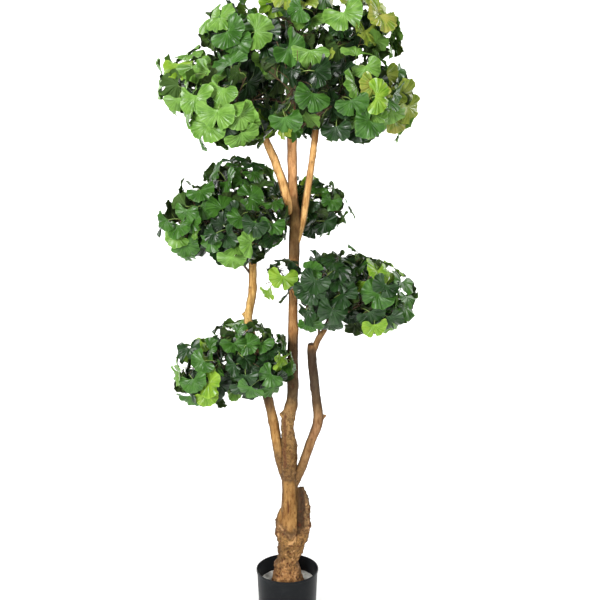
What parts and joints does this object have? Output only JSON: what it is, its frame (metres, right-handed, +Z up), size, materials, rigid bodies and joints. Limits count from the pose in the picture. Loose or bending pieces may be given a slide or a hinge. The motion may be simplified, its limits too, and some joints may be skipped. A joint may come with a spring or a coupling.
{
  "type": "artificial ginkgo bonsai tree in a pot",
  "caption": "Artificial ginkgo tree: gnarled natural wood trunk and tapering boughs with clouds of fan-shaped leaves, set in cement in a plain dark pot.",
  "frame": {"origin": "centre of the pot's flat underside", "axes": "+Z up along the trunk, front towards -Y, +X to the right seen from the front"},
  "size_m": [0.7316, 0.6227, 1.9063],
  "materials": {
    "pot": "satin moulded",
    "cement": "rough, trowelled",
    "wood": "dry, peeled and knobbly",
    "foliage": "waxy printed leaf cloth"
  },
  "bodies": {
    "root": {"pot": "pot", "pot_fill": "cement", "trunk": "wood", "bough_left": "wood", "bough_right": "wood", "bough_crown_left": "wood", "bough_crown_right": "wood", "foliage_crown_left_low": "foliage", "foliage_crown_left_up": "foliage", "foliage_crown_top": "foliage", "foliage_crown_front_left": "foliage", "foliage_crown_front": "foliage", "foliage_crown_front_right": "foliage", "foliage_crown_right_low": "foliage", "foliage_crown_right_up": "foliage", "foliage_crown_back_left": "foliage", "foliage_crown_back_right": "foliage", "foliage_middle_left": "foliage", "foliage_middle_front": "foliage", "foliage_middle_top": "foliage", "foliage_middle_right": "foliage", "foliage_middle_back": "foliage", "foliage_middle_low": "foliage", "foliage_right_near": "foliage", "foliage_right_far": "foliage", "foliage_right_back": "foliage", "foliage_low_left": "foliage", "foliage_low_right": "foliage", "foliage_low_back": "foliage"}
  },
  "joints": []
}
